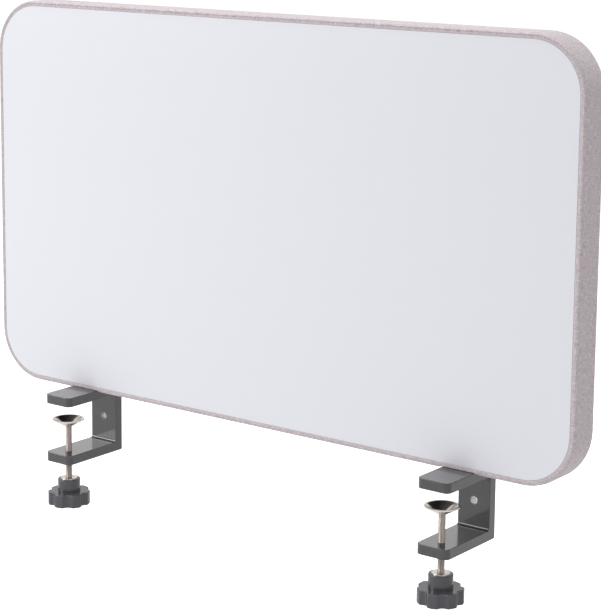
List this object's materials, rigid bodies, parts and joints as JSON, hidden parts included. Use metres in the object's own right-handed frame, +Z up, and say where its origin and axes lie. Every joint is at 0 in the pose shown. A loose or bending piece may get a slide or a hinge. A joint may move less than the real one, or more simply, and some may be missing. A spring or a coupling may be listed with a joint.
{
  "type": "desk privacy panel",
  "caption": "Upright fabric-wrapped panel with a white steel writing face and rounded corners, held over a desk edge by screw clamps with swivel cups and star knobs.",
  "frame": {"origin": "on the desk's upper rear edge, midway between the two clamps: z = 0 is the underside of the upper arms, y = 0 is the inner face of the webs", "axes": "+X along the panel to the right as seen from the desk, +Y away from the person, +Z up; the whiteboard face looks along -Y"},
  "size_m": [0.61, 0.074, 0.451],
  "materials": {
    "whiteboard": "smooth white enamel, satin gloss",
    "adhesive": "clear acrylic film",
    "fibreboard": "raw fibreboard",
    "fibre_mat": "pressed polyester fibre",
    "foam": "thin open-cell foam",
    "fabric": "heathered light grey weave",
    "bracket_paint": "dark grey satin powder coat",
    "zinc_screw": "zinc plated",
    "nickel": "bright nickel plate",
    "nickel_thread": "dull nickel plate, rolled thread",
    "knob_plastic": "moulded, glossy"
  },
  "bodies": {
    "panel": {"whiteboard_sheet": "whiteboard", "sheet_adhesive": "adhesive", "front_board": "fibreboard", "perimeter_frame": "fibreboard", "core_infill": "fibre_mat", "rear_padding": "foam", "fabric_cover": "fabric", "left_bracket": "bracket_paint", "left_fixing_screw": "zinc_screw", "left_threaded_insert": "zinc_screw", "right_bracket": "bracket_paint", "right_fixing_screw": "zinc_screw", "right_threaded_insert": "zinc_screw"},
    "left_pad": {"left_pressure_cup": "nickel"},
    "left_screw": {"left_clamp_screw": "nickel_thread", "left_knob_insert": "nickel", "left_knob": "knob_plastic"},
    "right_pad": {"right_pressure_cup": "nickel"},
    "right_screw": {"right_clamp_screw": "nickel_thread", "right_knob_insert": "nickel", "right_knob": "knob_plastic"}
  },
  "joints": [
    {"name": "left_screw_travel", "type": "slide", "parent": "panel", "child": "left_pad", "axis": [0, 0, 1], "range_m": [-0.022, 0.014]},
    {"name": "left_screw_turn", "type": "hinge", "parent": "left_pad", "child": "left_screw", "pos_m": [-0.201, -0.0465, -0.06], "axis": [0, 0, 1], "range_deg": [-7920, 5040]},
    {"name": "right_screw_travel", "type": "slide", "parent": "panel", "child": "right_pad", "axis": [0, 0, 1], "range_m": [-0.022, 0.014]},
    {"name": "right_screw_turn", "type": "hinge", "parent": "right_pad", "child": "right_screw", "pos_m": [0.201, -0.0465, -0.06], "axis": [0, 0, 1], "range_deg": [-7920, 5040]}
  ],
  "couplings": [
    {"joint": "left_screw_turn", "follows": "left_screw_travel", "rad_per_m": 6283.2},
    {"joint": "right_screw_turn", "follows": "right_screw_travel", "rad_per_m": 6283.2}
  ]
}
